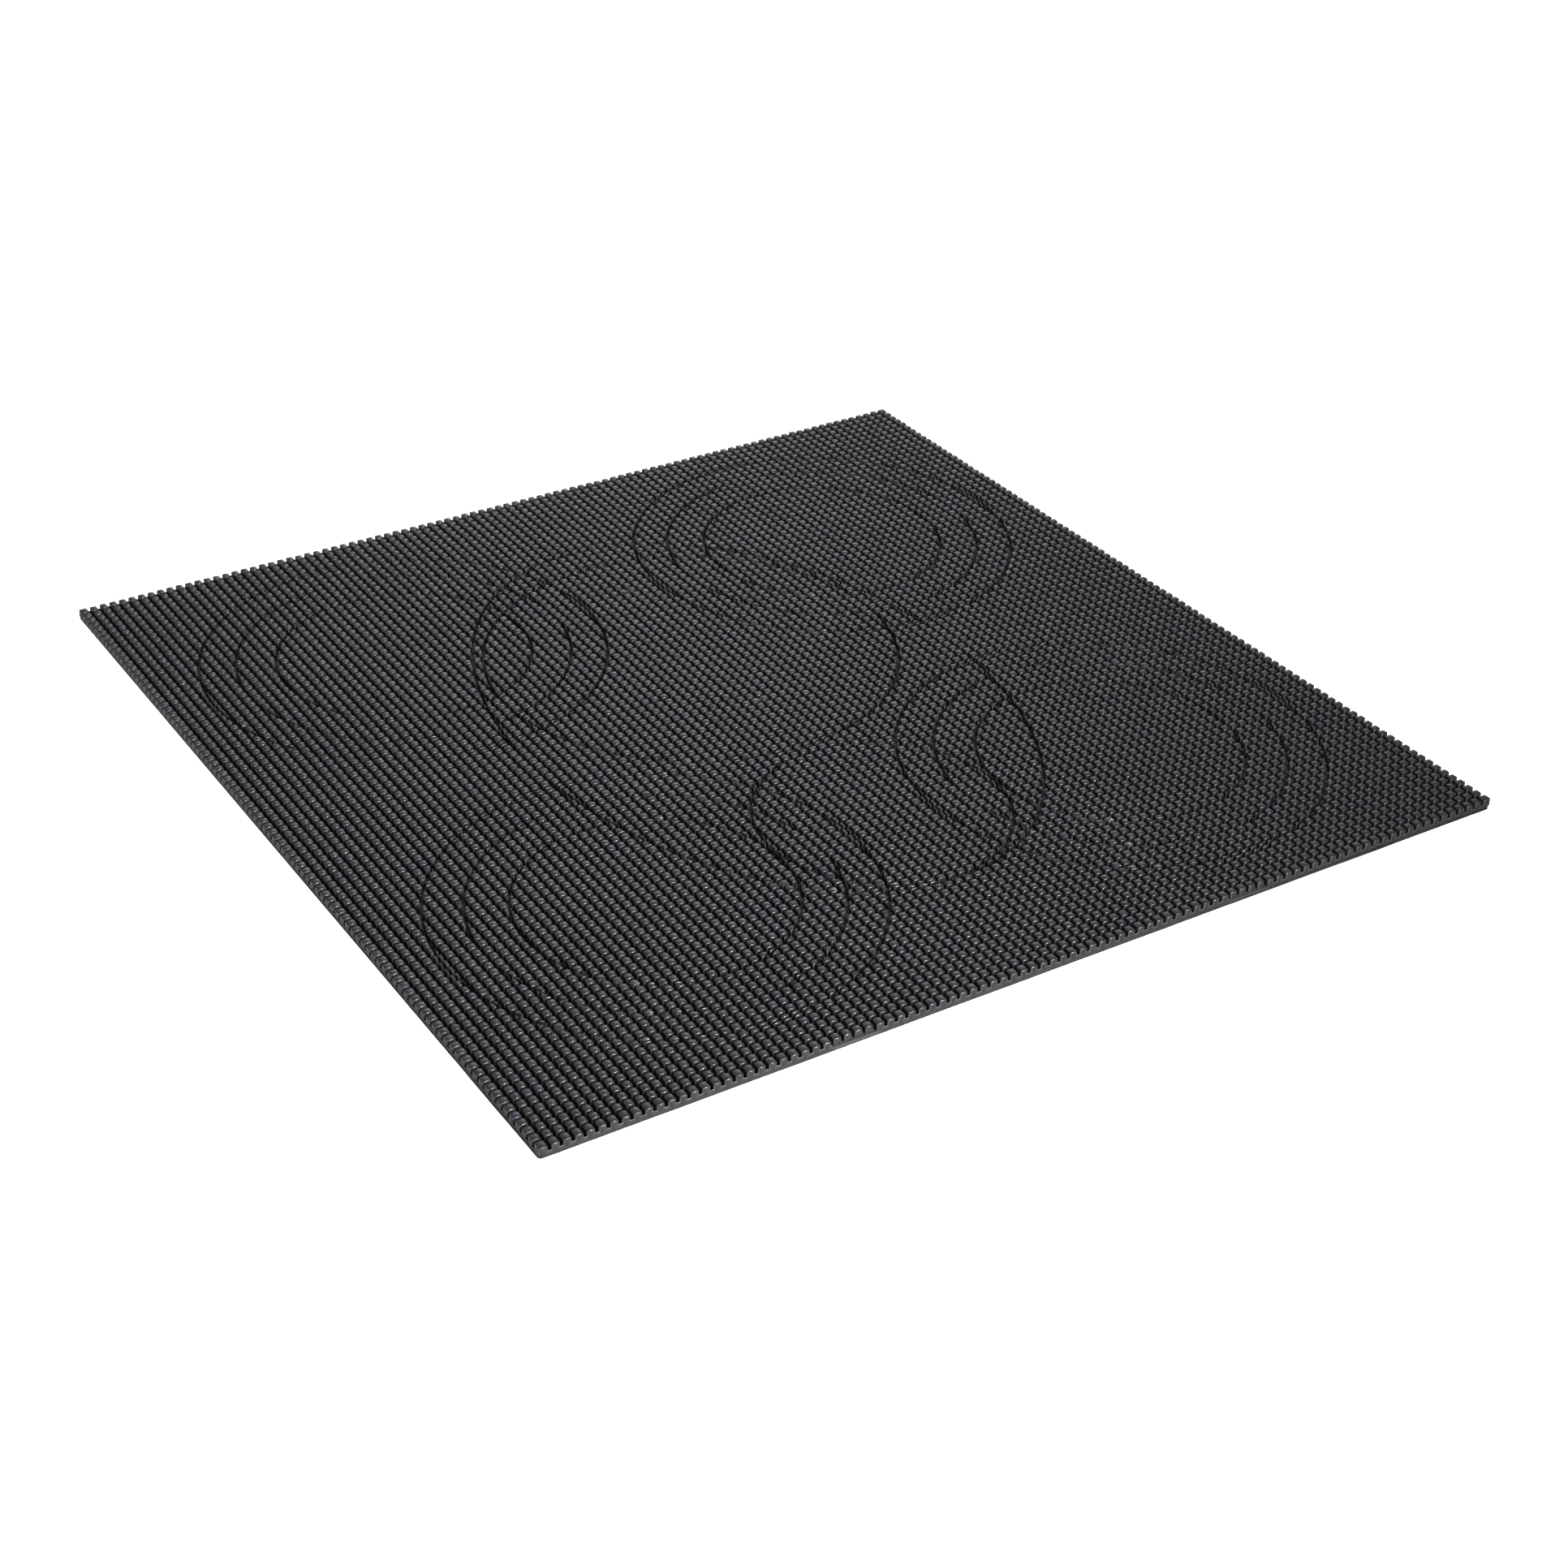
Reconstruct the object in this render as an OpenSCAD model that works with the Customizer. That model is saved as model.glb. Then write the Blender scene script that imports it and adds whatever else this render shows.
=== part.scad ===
// Square studded rubber mat, lying flat on its backing.
// Units are millimetres. The origin is at the centre of the underside, +Z is up,
// -Y is the front edge and -X is the left edge.
// The small square studs stand 96 to a side. Ring-shaped slots part them into zones,
// and each zone is one node: a plain slab as high as its studs.

/* [Mat] */
// Side of the square mat
mat_side = 304.8; // [300:0.1:310]
// Thickness of the thin backing under the mat
backing_t = 0.5; // [0.4:0.1:1]
// How far the backing stops short of the mat's side
backing_inset = 0.35; // [0.2:0.05:0.5]
// Thickness of the solid sheet that carries the studs
web_t = 0.8; // [0.8:0.1:2]
// Height of the studs above the web
stud_h = 2; // [1.8:0.1:2.4]
// Size of the cut across each corner of the mat
corner_cut = 0.8; // [0.6:0.1:1.2]

/* [Rim] */
// Width of the low rim that closes the channels at the mat's edge
rim_w = 0.5; // [0.4:0.1:0.8]
// How far the rim stays below the tops of the studs
rim_drop = 1.4; // [1.2:0.1:1.6]
// Distance of the left trimmed notch from the middle of the front rim
left_notch_x = -69.5; // [-75:0.1:-60]
// Distance of the right trimmed notch from the middle of the front rim
right_notch_x = 56.8; // [50:0.1:65]
// Length of each trimmed notch
notch_len = 13; // [5:0.5:14]

/* [Ring slots] */
// Width of every ring slot
slot_w = 0.95; // [0.9:0.01:1]
// Distance of the four corner ring centres from the mat's middle lines
corner_offset = 76.2; // [76:0.1:76.4]
// Radius of the smallest corner slot
inner_r = 38.9; // [38.8:0.1:39]
// Radius of the middle corner slot
middle_r = 51; // [50.5:0.1:51.5]
// Radius of the largest corner slot
outer_r = 62.1; // [61.8:0.1:62.4]
// Radius of the large slot behind the middle
large_r = 63.6; // [63.4:0.1:63.8]
// Distance of the large slot's centre behind the middle
large_y = 33; // [32.8:0.1:33.2]
// Radius of the small slot in front of the middle
small_r = 36.7; // [36.6:0.1:36.8]
// Distance of the small slot's centre in front of the middle
small_y = 70.9; // [70.7:0.1:71]
// Half the width of the oval slot
oval_rx = 73; // [72.8:0.1:73.2]
// Half the length of the oval slot
oval_ry = 108.9; // [108.7:0.1:109.1]

/* [Hidden] */
$fn = 96;
half = mat_side / 2;
half_slot = slot_w / 2;
web_z = backing_t;
stud_z = web_z + web_t;
rim_h = stud_h - rim_drop;
cutter_h = stud_h + 2;
oval_steps = 120;
rubber_colour = [0.17, 0.17, 0.18];
web_colour = [0.11, 0.11, 0.12];
backing_colour = [0.06, 0.06, 0.06];
rim_colour = [0.21, 0.21, 0.21];

// ---------- shared shapes ----------

// A square plate centred on the origin with its four corners cut across.
module plate(side, cut, h) {
    e = side / 2;
    linear_extrude(height = h)
        polygon([
            [-e + cut, -e], [e - cut, -e], [e, -e + cut], [e, e - cut],
            [e - cut, e], [-e + cut, e], [-e, e - cut], [-e, -e + cut]
        ]);
}

// A point on the oval slot's centre line, moved outward by a distance.
function oval_point(a, out) =
    let (nx = oval_ry * cos(a), ny = oval_rx * sin(a), n = norm([nx, ny]))
    [oval_rx * cos(a) + out * nx / n, oval_ry * sin(a) + out * ny / n];

// A solid oval whose side runs a given distance outside the slot's centre line.
module oval_solid(out, h) {
    linear_extrude(height = h)
        polygon([for (k = [0:oval_steps - 1]) oval_point(k * 360 / oval_steps, out)]);
}

// A round solid of a given height, centred on a point of the mat.
module disc_at(x, y, r, h) {
    translate([x, y, 0]) cylinder(r = r, h = h);
}

// A cutter the shape of one round slot.
module round_slot(x, y, r) {
    translate([x, y, -1])
        difference() {
            cylinder(r = r + half_slot, h = cutter_h);
            translate([0, 0, -1]) cylinder(r = r - half_slot, h = cutter_h + 2);
        }
}

// A cutter the shape of the oval slot.
module oval_slot() {
    translate([0, 0, -1])
        difference() {
            oval_solid(half_slot, cutter_h);
            translate([0, 0, -1]) oval_solid(-half_slot, cutter_h + 2);
        }
}

// The slots that cross a corner's rings: the oval, with the large one at the back
// and the small one at the front.
module crossing_slots(sy) {
    oval_slot();
    if (sy > 0) round_slot(0, large_y, large_r);
    if (sy < 0) round_slot(0, -small_y, small_r);
}

// Cutters for both of the corner ring sets at the front or the back, with their outer slots.
module corner_cutters(sy) {
    for (sx = [-1, 1])
        translate([0, 0, -1])
            disc_at(sx * corner_offset, sy * corner_offset, outer_r + half_slot, cutter_h);
}

// ---------- backing, web and rim ----------

module backing() {
    color(backing_colour)
        plate(mat_side - 2 * backing_inset, corner_cut, backing_t);
}

module web() {
    color(web_colour)
        translate([0, 0, web_z]) plate(mat_side, corner_cut, web_t);
}

// A rim strip along the front or the back edge, between the corner cuts.
module long_rim(sy) {
    y = sy > 0 ? half - rim_w : -half;
    translate([-half + corner_cut, y, stud_z])
        cube([mat_side - 2 * corner_cut, rim_w, rim_h]);
}

// A rim strip along the left or the right edge, between the two long strips.
module short_rim(sx) {
    x = sx > 0 ? half - rim_w : -half;
    length = mat_side - 2 * max(rim_w, corner_cut);
    translate([x, -length / 2, stud_z])
        cube([rim_w, length, rim_h]);
}

// Cutters for the two places at the front where the rim is trimmed away.
// Each reaches as far in as the rim is wide.
module notch_cutters(z) {
    for (x = [left_notch_x, right_notch_x])
        translate([x, -half - 1, z - 1]) cube([notch_len, rim_w + 1, cutter_h]);
}

// The trimmed places leave a ledge of web.
module rim_front() {
    color(rim_colour)
        difference() {
            long_rim(-1);
            notch_cutters(stud_z);
        }
}

module rim_back() {
    color(rim_colour) long_rim(1);
}

module rim_left() {
    color(rim_colour) short_rim(-1);
}

module rim_right() {
    color(rim_colour) short_rim(1);
}

// ---------- stud zones ----------

// Every stud outside the oval and the four corner ring sets.
// Above the rim the studs reach the mat's side.
module studs_field() {
    color(rubber_colour)
        translate([0, 0, stud_z])
            difference() {
                union() {
                    plate(mat_side - 2 * rim_w, corner_cut, stud_h);
                    translate([0, 0, rim_h]) plate(mat_side, corner_cut, rim_drop);
                }
                corner_cutters(-1);
                corner_cutters(1);
                translate([0, 0, -1]) oval_solid(half_slot, cutter_h);
                notch_cutters(0);
            }
}

// The studs inside the oval that no round slot takes in.
module studs_oval() {
    color(rubber_colour)
        translate([0, 0, stud_z])
            difference() {
                oval_solid(-half_slot, stud_h);
                corner_cutters(-1);
                corner_cutters(1);
                translate([0, 0, -1]) disc_at(0, large_y, large_r + half_slot, cutter_h);
                translate([0, 0, -1]) disc_at(0, -small_y, small_r + half_slot, cutter_h);
            }
}

// The studs inside the large round slot, less the two back corner ring sets.
module studs_large_disc() {
    color(rubber_colour)
        translate([0, 0, stud_z])
            difference() {
                disc_at(0, large_y, large_r - half_slot, stud_h);
                corner_cutters(1);
            }
}

// The studs inside the small round slot, less the two front corner ring sets.
module studs_small_disc() {
    color(rubber_colour)
        translate([0, 0, stud_z])
            difference() {
                disc_at(0, -small_y, small_r - half_slot, stud_h);
                corner_cutters(-1);
            }
}

// The studs inside the smallest slot of one corner.
module corner_disc(sx, sy) {
    color(rubber_colour)
        translate([0, 0, stud_z])
            difference() {
                disc_at(sx * corner_offset, sy * corner_offset, inner_r - half_slot, stud_h);
                crossing_slots(sy);
            }
}

// The studs between two neighbouring slots of one corner.
module corner_ring(sx, sy, r_in, r_out) {
    x = sx * corner_offset;
    y = sy * corner_offset;
    color(rubber_colour)
        translate([0, 0, stud_z])
            difference() {
                disc_at(x, y, r_out - half_slot, stud_h);
                translate([0, 0, -1]) disc_at(x, y, r_in + half_slot, cutter_h);
                crossing_slots(sy);
            }
}

module disc_front_left() { corner_disc(-1, -1); }
module disc_front_right() { corner_disc(1, -1); }
module disc_back_left() { corner_disc(-1, 1); }
module disc_back_right() { corner_disc(1, 1); }

module inner_ring_front_left() { corner_ring(-1, -1, inner_r, middle_r); }
module inner_ring_front_right() { corner_ring(1, -1, inner_r, middle_r); }
module inner_ring_back_left() { corner_ring(-1, 1, inner_r, middle_r); }
module inner_ring_back_right() { corner_ring(1, 1, inner_r, middle_r); }

module outer_ring_front_left() { corner_ring(-1, -1, middle_r, outer_r); }
module outer_ring_front_right() { corner_ring(1, -1, middle_r, outer_r); }
module outer_ring_back_left() { corner_ring(-1, 1, middle_r, outer_r); }
module outer_ring_back_right() { corner_ring(1, 1, middle_r, outer_r); }

// ---------- what is drawn ----------

backing();
web();
rim_front();
rim_back();
rim_left();
rim_right();
studs_field();
studs_oval();
studs_large_disc();
studs_small_disc();
disc_front_left();
disc_front_right();
disc_back_left();
disc_back_right();
inner_ring_front_left();
inner_ring_front_right();
inner_ring_back_left();
inner_ring_back_right();
outer_ring_front_left();
outer_ring_front_right();
outer_ring_back_left();
outer_ring_back_right();
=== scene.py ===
"""A square studded rubber mat on a pale floor, under soft studio light."""
import math
import random
from collections import namedtuple

import bpy
from mathutils import Matrix, Vector, noise


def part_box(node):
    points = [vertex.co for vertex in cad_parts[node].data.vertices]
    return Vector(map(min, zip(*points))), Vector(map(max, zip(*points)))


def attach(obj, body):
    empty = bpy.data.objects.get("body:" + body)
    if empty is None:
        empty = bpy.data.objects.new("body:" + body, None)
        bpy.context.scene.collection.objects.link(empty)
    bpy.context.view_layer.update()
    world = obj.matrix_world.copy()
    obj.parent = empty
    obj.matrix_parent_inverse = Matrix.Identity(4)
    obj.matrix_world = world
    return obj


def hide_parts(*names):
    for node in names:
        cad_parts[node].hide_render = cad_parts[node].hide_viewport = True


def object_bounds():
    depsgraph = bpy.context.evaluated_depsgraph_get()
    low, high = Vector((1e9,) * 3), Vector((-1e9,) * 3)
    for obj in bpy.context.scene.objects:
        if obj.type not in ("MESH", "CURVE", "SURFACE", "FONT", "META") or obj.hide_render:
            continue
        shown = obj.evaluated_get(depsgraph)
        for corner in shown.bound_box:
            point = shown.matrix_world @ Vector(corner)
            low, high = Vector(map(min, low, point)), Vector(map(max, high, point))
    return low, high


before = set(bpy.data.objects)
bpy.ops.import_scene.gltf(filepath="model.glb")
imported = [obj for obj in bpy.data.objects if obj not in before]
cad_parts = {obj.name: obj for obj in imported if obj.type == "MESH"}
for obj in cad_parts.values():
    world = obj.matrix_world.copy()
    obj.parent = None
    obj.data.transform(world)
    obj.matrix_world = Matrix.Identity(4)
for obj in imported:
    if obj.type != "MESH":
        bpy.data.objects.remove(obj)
cad_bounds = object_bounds()

# ---------- sizes in metres, from model.glb where it holds them ----------

MM = 0.001
STUDS = 96  # studs along one side
CORNERS = ("front_left", "front_right", "back_left", "back_right")

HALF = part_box("studs_field")[1].x
STUD_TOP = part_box("studs_field")[1].z
WEB_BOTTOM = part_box("web")[0].z
WEB_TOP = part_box("web")[1].z
RIM_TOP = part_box("rim_back")[1].z
RIM_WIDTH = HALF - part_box("rim_back")[0].y
PITCH = 2 * HALF / STUDS
STUD_H = STUD_TOP - WEB_TOP

# ---------- the studs' shape ----------

FOOT = 0.73 * PITCH  # width of a stud at the web
DRAFT = 0.030 * PITCH  # how far a side leans in over the stud's height
ROUNDING = 0.055 * PITCH  # radius of the soft edge round the top
CORNER_CUT = 0.10 * PITCH  # how far the rounding of an upright edge reaches
CORNER_SHARE = 0.33  # and the greatest part of a short side that it may take
THICK_ENOUGH = 2.5  # a cut stud this many times wider than draft and rounding takes them in full
THIN_DROP = 0.10  # share of its height that the thinnest sliver lacks
TILT = 0.03  # the steepest slope of a stud's top
LIFT = 0.02 * MM  # how far a stud's height may be off
STUD_SEED = 96
SINK = 0.05 * MM  # how far a foot goes into the web, so that no gap shows
ROUND_FOOT = 0.78 * PITCH  # width of a round stud
ROUND_SIDES = 20
SLOT_NEAR = 1.2 * PITCH  # a stud farther than this from a slot's middle line is not cut by it
SMALLEST_SLIVER = 0.05 * PITCH  # narrower slivers of a cut stud tear out of the mould
SMALLEST_EDGE = 0.02 * PITCH  # points of an outline nearer than this are merged
GATE_X = 0.16 * PITCH  # half the size of a bridge that a gate left
GATE_Y = 0.17 * PITCH
GATE_DROP = 0.1 * MM  # how far it stays below the studs

# ---------- the mat's side ----------

SIDE_LEAN = 0.12 * MM  # how far the side leans in from the backing to the rim's top
BACKING_TURN = -0.0008  # the backing is stuck on a little askew, in radians
BACKING_SHIFT = 0.30 * MM  # and a little too far to the front
BACKING_EDGE = 0.08 * MM  # height of the slant along the backing's upper and lower edge
UNDERCUT = 0.50 * MM  # depth of the groove over the backing at the right end
UNDERCUT_LEFT = 0.08  # share of that depth at the left
UNDERCUT_START = 0.125  # where it begins to deepen, as a share of the way to the right side
UNDERCUT_FULL = 0.75  # and where it is full
UNDERCUT_PROFILE = [(0, 1), (0.12 * MM, 0.85), (0.22 * MM, 0.25), (0.30 * MM, 0)]  # height, share
RIM_CREST = [  # how far below the rim's top, and how far back from its face
    (0.10 * MM, 0), (0.02 * MM, 0.03 * MM), (0, 0.08 * MM), (0.06 * MM, 0.14 * MM),
]
SIDE_RIPPLES = [(9 * MM, 0.05 * MM), (0.9 * MM, 0.025 * MM)]  # length and depth of each
BACKING_RIPPLES = [(3, 30 * MM, 0.10 * MM), (5, 3 * MM, 0.05 * MM)]  # with a height to tell apart
EDGE_STEP = 0.06 * MM  # how far the outer studs stand back from the rim's face
TRIM_STEP = 0.45 * MM  # how far they stand back where the rim is trimmed away
CORNER_RADIUS = 1.3 * MM
ARC_STEPS = 8
SIDE_STEPS = 4 * STUDS
SHARP_ANGLE = math.radians(60)  # edges sharper than this are not shaded as round

# ---------- light and view ----------

FLOOR_BOUNCE = 0.75  # share of the light that the floor throws back on the mat
FLOOR_PAINTED_SHADE = 0.30  # the same where shade is painted on the floor
TONE = 0.76  # below 1 deepens the dark parts, as a camera's contrast does
ROOM_LIGHT = 0.50  # strength of the room's light away from the backdrop
ROOM_TINT = (0.995, 0.98, 1.02, 1)  # a little blue
BACKDROP = (0.48, 0.79, 0.37)  # the direction of the lit backdrop
BACKDROP_LIGHT = 4.3
BACKDROP_EDGE = 0.955  # cosine of the angle at which its light has faded
WHITE = (1, 1, 1, 1)
STAIN = (0.012, 0.010, 0.020, 1)  # a dull purple
FLOOR_SIZE = 12
FLOOR_GAP = 0.02 * MM  # the floor lies this far under the mat, so that no faces coincide

# The camera, in stud pitches from the middle of the mat's top.
EYE = (-120.205, -188.551, 130.791)
LOOKS_AT = (-11.746, -10.498, 0)
ROLL = math.radians(0.637)
LENS_MM = 63.385
LENS_SHIFT = 0.0548  # the picture's middle lies beside the lens's, as a share of its width
FOCUS = 0.74  # distance in metres
APERTURE = 45  # f-number


# ---------- slots and zones ----------

Slot = namedtuple("Slot", "x y rx ry zone")  # an oval centre line, and the zone just inside it


def reach(node, centre):
    """The least and the greatest distance of a node's points from a point of the mat."""
    spans = [math.dist(v.co.xy, centre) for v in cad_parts[node].data.vertices]
    return min(spans), max(spans)


def middle(node):
    """The centre of a node's box, seen from above."""
    low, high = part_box(node)
    return (low.x + high.x) / 2, (low.y + high.y) / 2


def half_sizes(node):
    """Half the width and half the length of a node's box."""
    low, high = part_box(node)
    return (high.x - low.x) / 2, (high.y - low.y) / 2


def corner_slots(corner):
    """The three ring slots of one corner, smallest first."""
    x, y = middle("disc_" + corner)
    disc_out = reach("disc_" + corner, (x, y))[1]
    inner_in, inner_out = reach("inner_ring_" + corner, (x, y))
    outer_in, outer_out = reach("outer_ring_" + corner, (x, y))
    radii = (
        (disc_out + inner_in) / 2,
        (inner_out + outer_in) / 2,
        outer_out + SLOT_WIDTH / 2,
    )
    zones = ("disc_", "inner_ring_", "outer_ring_")
    return [Slot(x, y, r, r, zone + corner) for r, zone in zip(radii, zones)]


def middle_slot(node, round_slot):
    """The slot round one of the three zones in the middle of the mat."""
    x, y = middle(node)
    rx, ry = half_sizes(node)
    rx = ry if round_slot else rx
    return Slot(0, y, rx + SLOT_WIDTH / 2, ry + SLOT_WIDTH / 2, node)


def find_slot_width():
    """The gap between the disc and the ring round it in one corner."""
    centre = middle("disc_front_left")
    return reach("inner_ring_front_left", centre)[0] - reach("disc_front_left", centre)[1]


SLOT_WIDTH = find_slot_width()
SLOT_FOOT = SLOT_WIDTH - 2 * DRAFT - ROUNDING  # the studs' lean widens a slot towards the top
SLOTS = [slot for corner in CORNERS for slot in corner_slots(corner)]
SLOTS.append(middle_slot("studs_large_disc", True))
SLOTS.append(middle_slot("studs_small_disc", True))
SLOTS.append(middle_slot("studs_oval", False))


def zone_at(x, y):
    """The zone that a point lies in. A zone inside another comes first in SLOTS."""
    for slot in SLOTS:
        if math.hypot((x - slot.x) / slot.rx, (y - slot.y) / slot.ry) < 1:
            return slot.zone
    return "studs_field"


# ---------- flat outlines, counter-clockwise lists of (x, y) ----------


def cut(outline, normal, distance, keep):
    """The part of a convex outline on one side of a line. keep is 1 for the normal's side, or -1."""
    heights = [keep * (normal[0] * x + normal[1] * y - distance) for x, y in outline]
    kept = []
    for k, (here, h) in enumerate(zip(outline, heights)):
        there, h2 = outline[(k + 1) % len(outline)], heights[(k + 1) % len(outline)]
        if h >= 0:
            kept.append(here)
        if (h >= 0) != (h2 >= 0):
            t = h / (h - h2)
            kept.append((here[0] + t * (there[0] - here[0]), here[1] + t * (there[1] - here[1])))
    return kept


def split_by_slot(outline, slot):
    """What a slot leaves of an outline. Across one stud, a slot is as good as straight."""
    cx = sum(x for x, y in outline) / len(outline) - slot.x
    cy = sum(y for x, y in outline) / len(outline) - slot.y
    q = math.hypot(cx / slot.rx, cy / slot.ry)
    gradient = Vector((cx / slot.rx**2 / q, cy / slot.ry**2 / q))
    away = (q - 1) / gradient.length
    if abs(away) > SLOT_NEAR:
        return [outline]
    normal = gradient.normalized()
    line = normal.x * (cx + slot.x) + normal.y * (cy + slot.y) - away
    halves = (
        cut(outline, normal, line + SLOT_FOOT / 2, 1),
        cut(outline, normal, line - SLOT_FOOT / 2, -1),
    )
    return [half for half in halves if len(half) > 2]


def without_short_edges(outline):
    """The outline with points that almost coincide merged."""
    kept = []
    for point in outline:
        if not kept or math.dist(point, kept[-1]) > SMALLEST_EDGE:
            kept.append(point)
    while len(kept) > 1 and math.dist(kept[0], kept[-1]) <= SMALLEST_EDGE:
        kept.pop()
    return kept


def narrowest(outline):
    """The width of a convex outline across its thinnest direction."""
    widths = []
    for k, (x0, y0) in enumerate(outline):
        x1, y1 = outline[(k + 1) % len(outline)]
        length = math.hypot(x1 - x0, y1 - y0)
        across = [abs((x - x0) * (y1 - y0) - (y - y0) * (x1 - x0)) / length for x, y in outline]
        widths.append(max(across))
    return min(widths)


def soften_corners(outline):
    """Each corner cut across, which stands for the rounding of a stud's upright edge."""
    softened = []
    for k, here in enumerate(outline):
        for other in (outline[k - 1], outline[(k + 1) % len(outline)]):
            length = math.dist(other, here)
            t = min(CORNER_CUT, CORNER_SHARE * length) / length
            softened.append((here[0] + t * (other[0] - here[0]), here[1] + t * (other[1] - here[1])))
    return softened


def inset(outline, distance):
    """The convex outline with each side moved inwards."""
    moved = []
    for k, (x, y) in enumerate(outline):
        before, after = outline[k - 1], outline[(k + 1) % len(outline)]
        first, second = math.dist(before, (x, y)), math.dist((x, y), after)
        n1 = ((before[1] - y) / first, (x - before[0]) / first)
        n2 = ((y - after[1]) / second, (after[0] - x) / second)
        scale = distance / (1 + n1[0] * n2[0] + n1[1] * n2[1])
        moved.append((x + (n1[0] + n2[0]) * scale, y + (n1[1] + n2[1]) * scale))
    return moved


# ---------- mesh pieces ----------


class Solid:
    """Vertices and faces gathered for one mesh."""

    def __init__(self):
        self.points = []
        self.faces = []
        self.smooth = []

    def loft(self, rings, smooth):
        """Walls between rings of the same length, and a lid on the last. smooth has one flag a wall."""
        start, count = len(self.points), len(rings[0])
        for ring in rings:
            self.points.extend(ring)
        for level in range(len(rings) - 1):
            for k in range(count):
                a = start + level * count + k
                b = start + level * count + (k + 1) % count
                self.add_face((a, b, b + count, a + count), smooth[level])
        top = start + (len(rings) - 1) * count
        self.add_face(range(top, top + count), False)

    def close_bottom(self, start, count):
        """A lid under the ring that begins at a vertex."""
        self.add_face(range(start + count - 1, start - 1, -1), False)

    def add_face(self, corners, smooth):
        """One face, from the numbers of its vertices."""
        self.faces.append(tuple(corners))
        self.smooth.append(smooth)

    def piece(self, name, node, material, slot):
        """A finished object that stands for a CAD node."""
        mesh = bpy.data.meshes.new(name)
        mesh.from_pydata(self.points, [], self.faces)
        mesh.polygons.foreach_set("use_smooth", self.smooth)
        mesh.materials.append(material)
        mesh.set_sharp_from_angle(angle=SHARP_ANGLE)
        piece = bpy.data.objects.new(name, mesh)
        bpy.context.scene.collection.objects.link(piece)
        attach(piece, "root")
        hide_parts(node)
        return piece


# ---------- studs ----------

# Round studs left by the mould's vents, as (column, row) counted from the middle of the mat.
VENTS = [(-25, 24), (24, 24), (-25, 0), (24, -1), (-25, -25), (24, -25), (0, -25)]
for along in (-32, -16, 0, 15, 31):
    VENTS.extend([(along, -47), (along, 46), (46, along)])
for along in (-32, -16, 0, 16, 31):
    VENTS.append((-47, along))

# Where a gate left rubber between a stud and the one to its right.
GATES = [(0, 24), (0, -1)]


def trimmed_spans():
    """The stretches of the front where the rim is trimmed away, as (start, end)."""
    ends = sorted({round(v.co.x, 5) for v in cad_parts["rim_front"].data.vertices})
    return list(zip(ends[1:-1:2], ends[2:-1:2]))


TRIMMED = trimmed_spans()


def square_outline(column, row):
    """The foot of one square stud. The outer studs reach the mat's side."""
    x, y = (column + 0.5) * PITCH, (row + 0.5) * PITCH
    left, right = x - FOOT / 2, x + FOOT / 2
    front, back = y - FOOT / 2, y + FOOT / 2
    last = STUDS // 2 - 1
    side = HALF - EDGE_STEP
    if column == -last - 1:
        left = -side
    if column == last:
        right = side
    if row == last:
        back = side
    if row == -last - 1:
        in_trim = any(start < x < end for start, end in TRIMMED)
        front = -HALF + TRIM_STEP if in_trim else -side
    return [(left, front), (right, front), (right, back), (left, back)]


def round_outline(column, row):
    """The foot of one round stud."""
    x, y = (column + 0.5) * PITCH, (row + 0.5) * PITCH
    turns = [2 * math.pi * k / ROUND_SIDES for k in range(ROUND_SIDES)]
    return [(x + ROUND_FOOT / 2 * math.cos(a), y + ROUND_FOOT / 2 * math.sin(a)) for a in turns]


def cut_by_slots(outline):
    """The outlines that all the slots leave of one stud, without slivers too thin to mould."""
    pieces = [outline]
    for slot in SLOTS:
        pieces = [part for piece in pieces for part in split_by_slot(piece, slot)]
    pieces = [without_short_edges(piece) for piece in pieces]
    return [piece for piece in pieces if len(piece) > 2 and narrowest(piece) > SMALLEST_SLIVER]


def stud_rings(outline, lift, tilt):
    """Rings of points up a stud: its foot, then three round the soft edge.

    tilt is the top's slope in x and in y. A thin sliver can't take the full draft and rounding.
    """
    share = min(1, narrowest(outline) / (THICK_ENOUGH * (DRAFT + ROUNDING)))
    top = WEB_TOP + STUD_H * (1 - THIN_DROP * (1 - share)) + lift
    levels = [(WEB_TOP - SINK, 0)]
    for angle in (0, 45, 90):
        turn = math.radians(angle)
        levels.append((
            top - share * ROUNDING * (1 - math.sin(turn)),
            share * (DRAFT + ROUNDING * (1 - math.cos(turn))),
        ))
    rings = [[(x, y, z) for x, y in inset(outline, distance)] for z, distance in levels]
    x0, y0 = outline[0]
    tilted = [
        [(x, y, z + tilt[0] * (x - x0) + tilt[1] * (y - y0)) for x, y, z in ring]
        for ring in rings[1:]
    ]
    return rings[:1] + tilted


def add_stud(solid, outline, lift, tilt=(0, 0)):
    """One stud, or what the slots leave of it, added to a zone's solid."""
    solid.loft(stud_rings(outline, lift, tilt), (False, True, True))


def build_studs(material):
    """All studs, gathered into one piece a zone."""
    rng = random.Random(STUD_SEED)
    zones = {}
    half = STUDS // 2
    for row in range(-half, half):
        for column in range(-half, half):
            is_round = (column, row) in VENTS
            outline = round_outline(column, row) if is_round else square_outline(column, row)
            for part in cut_by_slots(outline):
                x = sum(p[0] for p in part) / len(part)
                y = sum(p[1] for p in part) / len(part)
                solid = zones.setdefault(zone_at(x, y), Solid())
                shape = part if is_round else soften_corners(part)
                tilt = (rng.uniform(-TILT, TILT), rng.uniform(-TILT, TILT))
                add_stud(solid, shape, rng.uniform(-LIFT, LIFT), tilt)
    for column, row in GATES:
        add_gate(zones, column, row)
    for zone, solid in zones.items():
        solid.piece(zone + "_moulded", zone, material, "studs")


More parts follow.
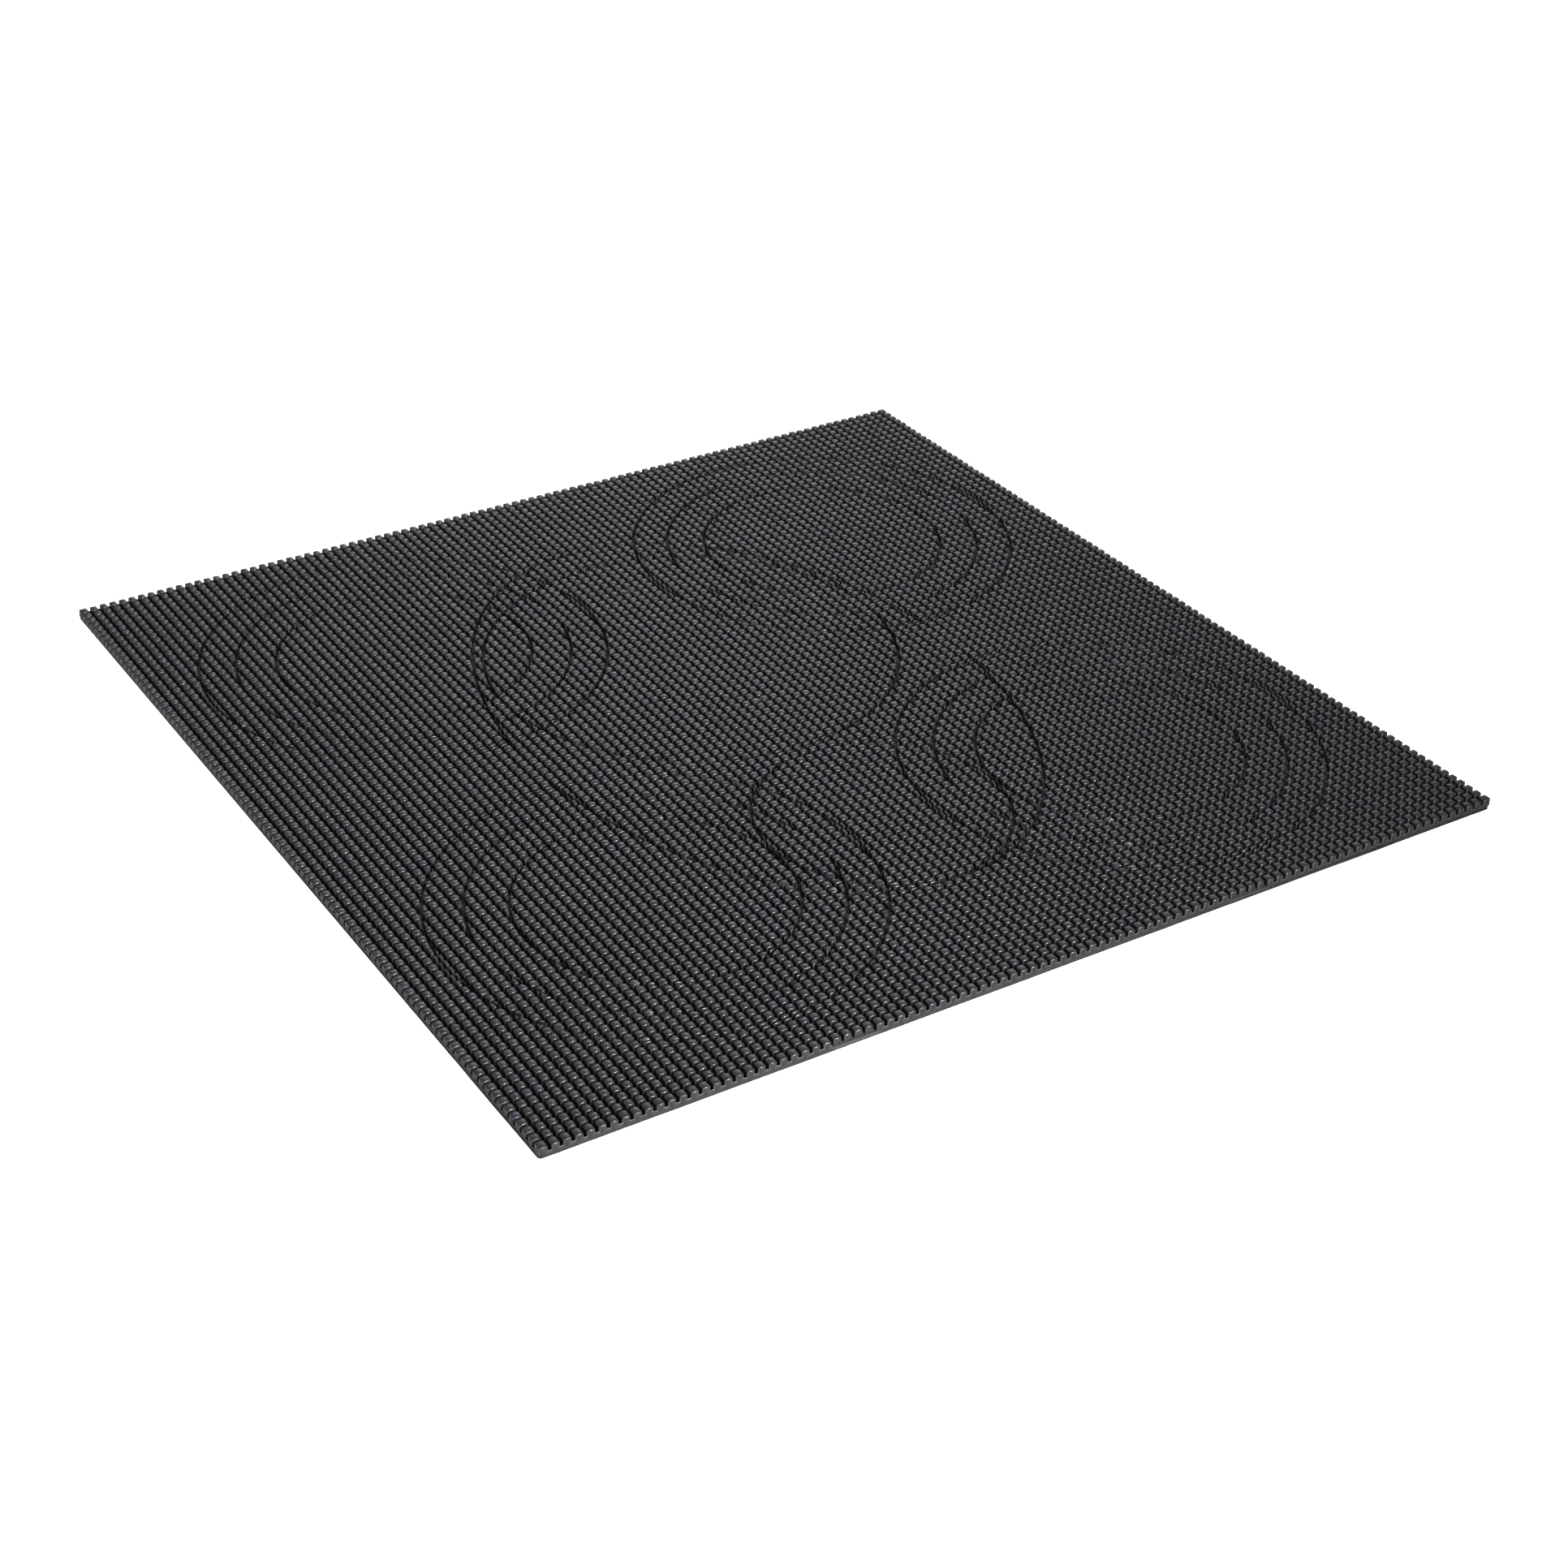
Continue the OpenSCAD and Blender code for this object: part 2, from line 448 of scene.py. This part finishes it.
def add_gate(zones, column, row):
    """A low bridge of rubber from a stud to its right-hand neighbour."""
    x, y = (column + 1) * PITCH, (row + 0.5) * PITCH
    outline = [
        (x - GATE_X, y - GATE_Y), (x + GATE_X, y - GATE_Y),
        (x + GATE_X, y + GATE_Y), (x - GATE_X, y + GATE_Y),
    ]
    add_stud(zones[zone_at(x, y)], outline, -GATE_DROP)


# ---------- the mat's side: web, rims and backing ----------


def side_path():
    """Points round the mat's side in four lists of one length: front, right, back and left.

    They go counter-clockwise from the middle of the front left corner's arc. Each is
    (x, y, outward x, outward y).
    """
    straight = HALF - CORNER_RADIUS
    local = []
    for k in range(ARC_STEPS // 2):
        a = math.radians(225 + 45 * k / (ARC_STEPS // 2))
        x, y = -straight + CORNER_RADIUS * math.cos(a), -straight + CORNER_RADIUS * math.sin(a)
        local.append((x, y, math.cos(a), math.sin(a)))
    for k in range(SIDE_STEPS + 1):
        local.append((-straight + 2 * straight * k / SIDE_STEPS, -HALF, 0, -1))
    for k in range(1, ARC_STEPS // 2):
        a = math.radians(270 + 45 * k / (ARC_STEPS // 2))
        x, y = straight + CORNER_RADIUS * math.cos(a), -straight + CORNER_RADIUS * math.sin(a)
        local.append((x, y, math.cos(a), math.sin(a)))
    sides = []
    for turns in range(4):
        c, s = round(math.cos(turns * math.pi / 2)), round(math.sin(turns * math.pi / 2))
        sides.append([
            (x * c - y * s, x * s + y * c, nx * c - ny * s, nx * s + ny * c)
            for x, y, nx, ny in local
        ])
    return sides


FRONT, RIGHT, BACK, LEFT = side_path()


def ripple(x, y, z, size, amount):
    """A smooth random offset between plus and minus the amount."""
    return amount * noise.noise(Vector((x, y, z)) / size)


def side_point(path_point, z, back):
    """A point of the mat's side at a height, set back from the plain square by a distance."""
    x, y, nx, ny = path_point
    lean = SIDE_LEAN * (z - WEB_BOTTOM) / (RIM_TOP - WEB_BOTTOM)
    rough = sum(ripple(x, y, z, size, depth) for size, depth in SIDE_RIPPLES)
    out = -back - lean + min(0, rough)
    return (x + nx * out, y + ny * out, z)


def undercut(x):
    """Depth of the groove between web and backing, which fades out towards the left."""
    share = (x / HALF - UNDERCUT_START) / (UNDERCUT_FULL - UNDERCUT_START)
    return UNDERCUT * min(1, max(UNDERCUT_LEFT, share))


def build_web(material):
    """The solid sheet under the studs. Its side is slightly rough and undercut at its foot."""
    path = FRONT + RIGHT + BACK + LEFT
    solid = Solid()
    levels = [(WEB_BOTTOM + height, share) for height, share in UNDERCUT_PROFILE]
    levels.append((WEB_TOP, 0))
    rings = [[side_point(p, z, share * undercut(p[0])) for p in path] for z, share in levels]
    solid.loft(rings, (True,) * (len(levels) - 1))
    solid.close_bottom(0, len(path))
    solid.piece("web_moulded", "web", material, "web")


def rim_ring(path_point):
    """One cross-section of the rim: up its outer face, over a thin crest, and down a slope to its
    inner foot."""
    x, y, nx, ny = path_point
    top = RIM_TOP + ripple(x, y, 0, 4 * MM, 0.09 * MM)
    levels = [(WEB_TOP, 0), ((WEB_TOP + top) / 2, 0)]
    levels.extend((top - below, back) for below, back in RIM_CREST)
    ring = [side_point(path_point, z, back) for z, back in levels]
    ring.append((x - nx * RIM_WIDTH, y - ny * RIM_WIDTH, WEB_TOP - SINK))
    return ring


def build_rim(node, side, material):
    """A rim strip along one side, in as many lengths as the CAD strip has."""
    solid = Solid()
    spans = TRIMMED if node == "rim_front" else []
    run = []
    for point in side + [None]:
        if point is None or any(start < point[0] < end for start, end in spans):
            if len(run) > 1:
                add_strip(solid, [rim_ring(p) for p in run])
            run = []
        else:
            run.append(point)
    solid.piece(node + "_moulded", node, material, "rim")


def add_strip(solid, rings):
    """A closed bar through a list of cross-sections."""
    start, count = len(solid.points), len(rings[0])
    solid.loft(rings[::-1], (True,) * (len(rings) - 1))
    solid.close_bottom(start, count)


def backing_point(path_point, z, back):
    """A point of the backing's edge, which wanders a little, as a trimmed sheet's does."""
    x, y, nx, ny = path_point
    wander = sum(ripple(x, y, height, size, depth) for height, size, depth in BACKING_RIPPLES)
    out = wander - back
    x, y = x + nx * out, y + ny * out
    return (x - y * BACKING_TURN, y + x * BACKING_TURN - BACKING_SHIFT, z)


def build_backing(material):
    """The thin layer underneath, stopping a little short of the mat's side."""
    path = FRONT + RIGHT + BACK + LEFT
    low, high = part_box("backing")
    short = HALF - high.x
    levels = [
        (low.z, short + 0.12 * MM),
        (low.z + BACKING_EDGE, short),
        (high.z - BACKING_EDGE, short),
        (high.z, short + 0.10 * MM),
    ]
    solid = Solid()
    rings = [[backing_point(p, z, back) for p in path] for z, back in levels]
    solid.loft(rings, (True,) * (len(levels) - 1))
    solid.close_bottom(0, len(path))
    solid.piece("backing_sheet", "backing", material, "backing")


# ---------- materials ----------


class Nodes:
    """A material's node tree, with short calls for the nodes it uses."""

    def __init__(self, name):
        self.material = bpy.data.materials.new(name)
        self.material.use_nodes = True
        self.tree = self.material.node_tree
        self.shader = self.tree.nodes["Principled BSDF"]
        self.place = self.tree.nodes.new("ShaderNodeTexCoord").outputs["Object"]

    def link(self, source, target):
        """Feeds a socket from another socket, or sets it to a plain value."""
        if isinstance(source, bpy.types.NodeSocket):
            self.tree.links.new(source, target)
        else:
            target.default_value = source

    def noise(self, size, detail=2, offset=0.0, place=None):
        """A noise of about 0 to 1 whose features are the given size in metres."""
        node = self.tree.nodes.new("ShaderNodeTexNoise")
        node.noise_dimensions = "4D"
        node.inputs["W"].default_value = offset
        node.inputs["Scale"].default_value = 1 / size
        node.inputs["Detail"].default_value = detail
        self.tree.links.new(place or self.place, node.inputs["Vector"])
        return node.outputs["Fac"]

    def ramp(self, value, low, high, to_low=0.0, to_high=1.0):
        """value taken from low..high to to_low..to_high, and held at the ends."""
        node = self.tree.nodes.new("ShaderNodeMapRange")
        names = ("Value", "From Min", "From Max", "To Min", "To Max")
        for name, source in zip(names, (value, low, high, to_low, to_high)):
            self.link(source, node.inputs[name])
        return node.outputs["Result"]

    def math(self, operation, a, b=0.0):
        """Two numbers put together by a Math node's operation."""
        node = self.tree.nodes.new("ShaderNodeMath")
        node.operation = operation
        self.link(a, node.inputs[0])
        self.link(b, node.inputs[1])
        return node.outputs["Value"]

    def vector(self, operation, a, b):
        """Two vectors put together by a Vector Math node's operation."""
        node = self.tree.nodes.new("ShaderNodeVectorMath")
        node.operation = operation
        self.link(a, node.inputs[0])
        self.link(b, node.inputs[1])
        return node.outputs["Value" if operation in ("DISTANCE", "DOT_PRODUCT") else "Vector"]

    def mix(self, share, a, b):
        """Colour a turned into colour b by the share."""
        node = self.tree.nodes.new("ShaderNodeMix")
        node.data_type = "RGBA"
        self.link(share, node.inputs["Factor"])
        self.link(a, node.inputs["A"])
        self.link(b, node.inputs["B"])
        return node.outputs["Result"]

    def per_stud(self, offset=0.0):
        """A random value of 0 to 1 that is the same all over one stud."""
        cell = self.vector("DIVIDE", self.place, (PITCH, PITCH, 1))
        cell = self.vector("FLOOR", cell, (0, 0, 0))
        cell = self.vector("MULTIPLY", cell, (1, 1, 0))
        node = self.tree.nodes.new("ShaderNodeTexWhiteNoise")
        node.noise_dimensions = "4D"
        node.inputs["W"].default_value = offset
        self.tree.links.new(cell, node.inputs["Vector"])
        return node.outputs["Value"]

    def upright_edge_highlight_mask(self):
        """1 on the slanting faces that stand for rounded upright edges, where a painted highlight goes,
        and 0 elsewhere.
        """
        normal = self.tree.nodes.new("ShaderNodeNewGeometry").outputs["True Normal"]
        parts = self.tree.nodes.new("ShaderNodeSeparateXYZ")
        self.tree.links.new(normal, parts.inputs[0])
        slant = self.math("MULTIPLY", parts.outputs["X"], parts.outputs["Y"])
        return self.ramp(self.math("ABSOLUTE", slant), 0.35, 0.45)

    def bump(self, height, distance, strength=1.0, normal=None):
        """A normal bent by a height of 0 to 1 that stands for a distance in metres."""
        node = self.tree.nodes.new("ShaderNodeBump")
        node.inputs["Distance"].default_value = distance
        node.inputs["Strength"].default_value = strength
        self.tree.links.new(height, node.inputs["Height"])
        if normal:
            self.tree.links.new(normal, node.inputs["Normal"])
        return node.outputs["Normal"]

    def finish(self, colour, roughness, normal):
        """The material, with its three main inputs fed."""
        self.link(colour, self.shader.inputs["Base Color"])
        self.link(roughness, self.shader.inputs["Roughness"])
        self.link(normal, self.shader.inputs["Normal"])
        return self.material


def grey(value, warm=0.0):
    """A dark grey. warm above 0 leans to brown, and below 0 to blue."""
    return (value * (1 + warm), value, value * (1 - warm), 1)


def stud_rubber():
    """Matte moulded rubber, a little different from stud to stud, with dull patches and dust, and a
    painted highlight on the rounded upright edges.
    """
    n = Nodes("stud_rubber")
    patches = n.ramp(n.noise(35 * MM, 3), 0.35, 0.65)
    colour = n.mix(patches, grey(0.008, -0.08), grey(0.011, -0.08))
    each = n.per_stud()
    colour = n.mix(n.math("MULTIPLY", each, 0.5), colour, grey(0.014, -0.05))
    # painted highlight: the faces for the rounded upright edges are made paler, as if light caught them
    colour = n.mix(n.math("MULTIPLY", n.upright_edge_highlight_mask(), 0.8), colour, grey(0.045, -0.05))
    stained = n.ramp(n.per_stud(7.0), 0.955, 0.96)
    near_stain = n.ramp(n.noise(18 * MM, 1, 4.0), 0.50, 0.60)
    stain = n.math("MULTIPLY", stained, near_stain)
    colour = n.mix(n.math("MULTIPLY", stain, 0.5), colour, STAIN)
    dust = n.ramp(n.noise(0.35 * MM, 2, 2.0), 0.60, 0.80, 0, 0.35)
    colour = n.mix(dust, colour, grey(0.030))
    fibre_place = n.vector("MULTIPLY", n.place, (1, 0.25, 1))
    fibre = n.ramp(n.noise(0.4 * MM, 1, 9.0, fibre_place), 0.80, 0.82, 0, 0.6)
    colour = n.mix(fibre, colour, grey(0.35))
    roughness = n.ramp(n.noise(3 * MM, 3, 5.0), 0.3, 0.7, 0.30, 0.42)
    normal = n.bump(n.noise(0.22 * MM, 3, 6.0), 0.03 * MM, 0.6)
    normal = n.bump(n.noise(1.6 * MM, 2, 8.0), 0.10 * MM, 0.5, normal)
    return n.finish(colour, roughness, normal)


def web_rubber():
    """The same rubber made darker: painted shade where little light reaches it, and little dust. Paler
    where the rim is trimmed away.
    """
    n = Nodes("web_rubber")
    # darker than the studs' colour: painted shade for the channels between the studs, and no dust
    colour = n.mix(n.ramp(n.noise(6 * MM, 3), 0.35, 0.65), grey(0.006, -0.08), grey(0.010, -0.05))
    for start, end in TRIMMED:
        centre = ((start + end) / 2, -HALF, WEB_TOP)
        away = n.vector("DISTANCE", n.place, centre)
        fresh = n.ramp(away, (end - start) * 0.5, (end - start) * 0.62, 0.8, 0.0)
        colour = n.mix(fresh, colour, grey(0.024, 0.10))
    roughness = n.ramp(n.noise(1.2 * MM, 3, 5.0), 0.3, 0.7, 0.45, 0.65)
    normal = n.bump(n.noise(0.4 * MM, 3, 6.0), 0.08 * MM, 0.7)
    return n.finish(colour, roughness, normal)


def rim_rubber():
    """Rubber rubbed and trimmed along the mat's edge, a little warmer than the studs."""
    n = Nodes("rim_rubber")
    colour = n.mix(n.ramp(n.noise(9 * MM, 3), 0.35, 0.65), grey(0.010, 0.02), grey(0.017, 0.06))
    scuff_place = n.vector("MULTIPLY", n.place, (1, 1, 4))
    scuff = n.ramp(n.noise(0.9 * MM, 3, 3.0, scuff_place), 0.56, 0.74, 0, 0.5)
    colour = n.mix(scuff, colour, grey(0.032, 0.05))
    roughness = n.ramp(n.noise(1.5 * MM, 3, 5.0), 0.3, 0.7, 0.42, 0.62)
    normal = n.bump(n.noise(0.35 * MM, 3, 6.0), 0.06 * MM, 0.7)
    normal = n.bump(n.noise(2.5 * MM, 2, 7.0), 0.20 * MM, 0.5, normal)
    return n.finish(colour, roughness, normal)


def backing_rubber():
    """A darker skin with a fine pebble, which keeps the mat from sliding."""
    n = Nodes("backing_rubber")
    colour = n.mix(n.ramp(n.noise(20 * MM, 3), 0.35, 0.65), grey(0.008), grey(0.012))
    pebble = n.tree.nodes.new("ShaderNodeTexVoronoi")
    pebble.inputs["Scale"].default_value = 1 / (0.8 * MM)
    n.tree.links.new(n.place, pebble.inputs["Vector"])
    normal = n.bump(pebble.outputs["Distance"], 0.12 * MM, 0.5)
    roughness = n.ramp(n.noise(5 * MM, 2, 5.0), 0.3, 0.7, 0.55, 0.70)
    n.shader.inputs["Specular IOR Level"].default_value = 0.35
    return n.finish(colour, roughness, normal)


def floor_paper():
    """White studio paper, burnt out to the camera as in a product picture.

    It throws back most light at the back left, and least at the front right, where shade is painted
    into its colour.
    """
    n = Nodes("floor_paper")
    # painted shade: the floor is darker towards the front right, so it throws back less light there
    to_painted_shade = n.vector("DOT_PRODUCT", n.place, (0.6, -0.8, 0))
    colour = n.ramp(to_painted_shade, -HALF, HALF, FLOOR_BOUNCE, FLOOR_PAINTED_SHADE)
    seen = n.tree.nodes.new("ShaderNodeLightPath").outputs["Is Camera Ray"]
    n.shader.inputs["Emission Color"].default_value = WHITE
    n.link(seen, n.shader.inputs["Emission Strength"])
    normal = n.bump(n.noise(1 * MM, 2, 6.0), 0.02 * MM, 0.2)
    n.shader.inputs["Specular IOR Level"].default_value = 0
    return n.finish(colour, 0.9, normal)


# ---------- floor, light and camera ----------


def build_floor():
    """A wide sheet of paper just under the mat."""
    bpy.ops.mesh.primitive_plane_add(
        size=FLOOR_SIZE, location=(0, 0, cad_bounds[0].z - FLOOR_GAP)
    )
    floor = bpy.context.object
    floor.name = "floor"
    floor.data.materials.append(floor_paper())


def aim(thing, place, target):
    """Puts a light at a place, facing a target."""
    thing.location = place
    thing.rotation_euler = (Vector(target) - Vector(place)).to_track_quat("-Z", "Y").to_euler()


def soft_light(name, place, target, size, power, spread=180):
    """A square soft box aimed at a point. spread is the full angle of its beam in degrees."""
    lamp = bpy.data.lights.new(name, "AREA")
    lamp.size = size
    lamp.energy = power
    lamp.spread = math.radians(spread)
    holder = bpy.data.objects.new(name, lamp)
    bpy.context.scene.collection.objects.link(holder)
    aim(holder, place, target)


def build_room():
    """A room that is brightest where a lit backdrop stands, low behind the mat.

    The camera itself sees plain white all round.
    """
    world = bpy.data.worlds.new("white_room")
    world.use_nodes = True
    tree = world.node_tree
    background = tree.nodes["Background"]
    background.inputs["Color"].default_value = ROOM_TINT
    towards = tree.nodes.new("ShaderNodeVectorMath")
    towards.operation = "DOT_PRODUCT"
    tree.links.new(tree.nodes.new("ShaderNodeTexCoord").outputs["Generated"], towards.inputs[0])
    towards.inputs[1].default_value = Vector(BACKDROP).normalized()
    strength = tree.nodes.new("ShaderNodeMapRange")
    strength.interpolation_type = "SMOOTHSTEP"
    tree.links.new(towards.outputs["Value"], strength.inputs["Value"])
    strength.inputs["From Min"].default_value = BACKDROP_EDGE
    strength.inputs["From Max"].default_value = 1.0
    strength.inputs["To Min"].default_value = ROOM_LIGHT
    strength.inputs["To Max"].default_value = BACKDROP_LIGHT
    tree.links.new(strength.outputs["Result"], background.inputs["Strength"])
    seen = tree.nodes.new("ShaderNodeBackground")
    seen.inputs["Color"].default_value = WHITE
    mixed = tree.nodes.new("ShaderNodeMixShader")
    tree.links.new(tree.nodes.new("ShaderNodeLightPath").outputs["Is Camera Ray"], mixed.inputs[0])
    tree.links.new(background.outputs[0], mixed.inputs[1])
    tree.links.new(seen.outputs[0], mixed.inputs[2])
    tree.links.new(mixed.outputs[0], tree.nodes["World Output"].inputs["Surface"])
    bpy.context.scene.world = world


def build_light():
    """The room, a soft box in front, a low one aimed at the mat's left part, and a big one that
    stands behind on the left."""
    build_room()
    soft_light("front_box", (0.08, -0.46, 0.44), (0, 0, 0), size=0.14, power=9.0)
    soft_light(
        "low_front_box", (0.05, -0.70, 0.30), (-0.20, 0.20, 0), size=0.20, power=2.4, spread=60
    )
    soft_light("left_box", (-0.80, 0.60, 0.45), (0, 0, 0), size=0.70, power=7.0)
    bpy.context.scene.view_settings.view_transform = "Standard"
    bpy.context.scene.view_settings.gamma = TONE


def build_camera():
    """A close viewpoint over the mat's front left."""
    eye = Vector(EYE) * PITCH
    target = Vector(LOOKS_AT) * PITCH
    top = Vector((0, 0, STUD_TOP))
    forward = (target - eye).normalized()
    right = forward.cross(Vector((0, 0, 1))).normalized()
    up = right.cross(forward)
    across = right * math.cos(ROLL) + up * math.sin(ROLL)
    upright = up * math.cos(ROLL) - right * math.sin(ROLL)
    turned = Matrix((across, upright, -forward)).transposed().to_4x4()
    lens = bpy.data.cameras.new("camera")
    lens.sensor_width = 36
    lens.lens = LENS_MM
    lens.shift_x = LENS_SHIFT
    lens.clip_start = 0.01
    lens.dof.use_dof = True
    lens.dof.focus_distance = FOCUS
    lens.dof.aperture_fstop = APERTURE
    camera = bpy.data.objects.new("camera", lens)
    bpy.context.scene.collection.objects.link(camera)
    turned.translation = eye + top
    camera.matrix_world = turned
    bpy.context.scene.camera = camera


# ---------- the scene ----------

build_studs(stud_rubber())
build_web(web_rubber())
edge_rubber = rim_rubber()
rim_sides = {"rim_front": FRONT, "rim_right": RIGHT, "rim_back": BACK, "rim_left": LEFT}
for rim_node, rim_side in rim_sides.items():
    build_rim(rim_node, rim_side, edge_rubber)
build_backing(backing_rubber())
build_floor()
build_light()
build_camera()
